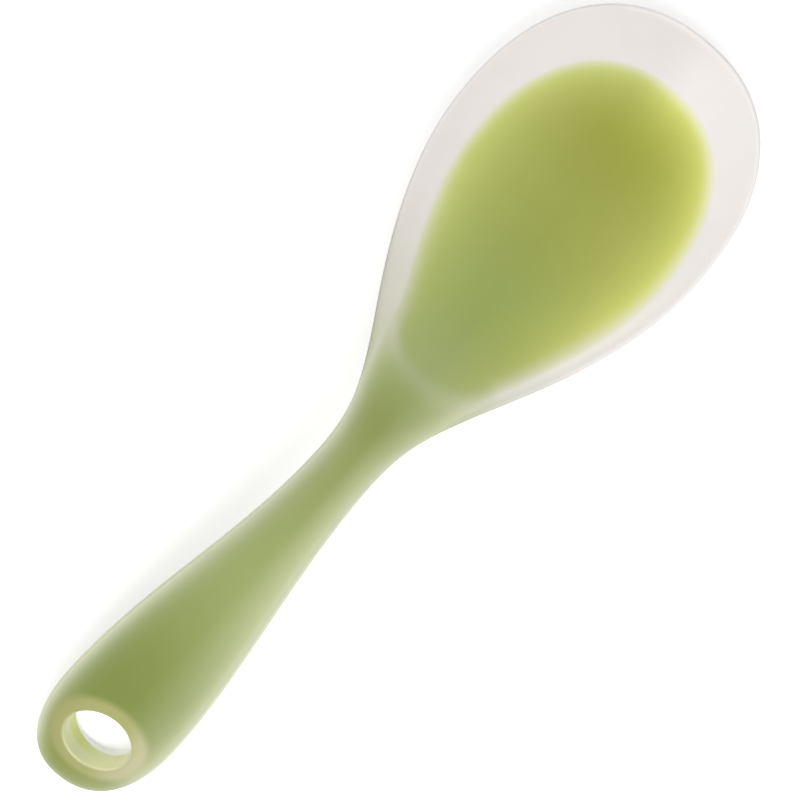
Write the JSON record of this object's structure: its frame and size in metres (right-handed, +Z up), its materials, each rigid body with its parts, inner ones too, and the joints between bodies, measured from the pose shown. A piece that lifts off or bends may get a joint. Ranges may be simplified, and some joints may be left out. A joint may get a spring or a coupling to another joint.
{
  "type": "rice paddle",
  "caption": "Rice paddle with a shallow egg-shaped bowl, a stiff core moulded into a clear silicone skin, an arched handle and a hang hole at its end.",
  "frame": {"origin": "centre of the bounding box's bottom, on the table that the paddle lies on", "axes": "+X from the handle's end to the bowl's tip, +Z up out of the bowl's hollow, +Y to the left side seen from the handle"},
  "size_m": [0.2403, 0.0676, 0.0293],
  "materials": {
    "green_nylon": "satin",
    "clear_silicone": "satin"
  },
  "bodies": {
    "root": {"nylon_core": "green_nylon", "silicone_skin": "clear_silicone"}
  },
  "joints": []
}
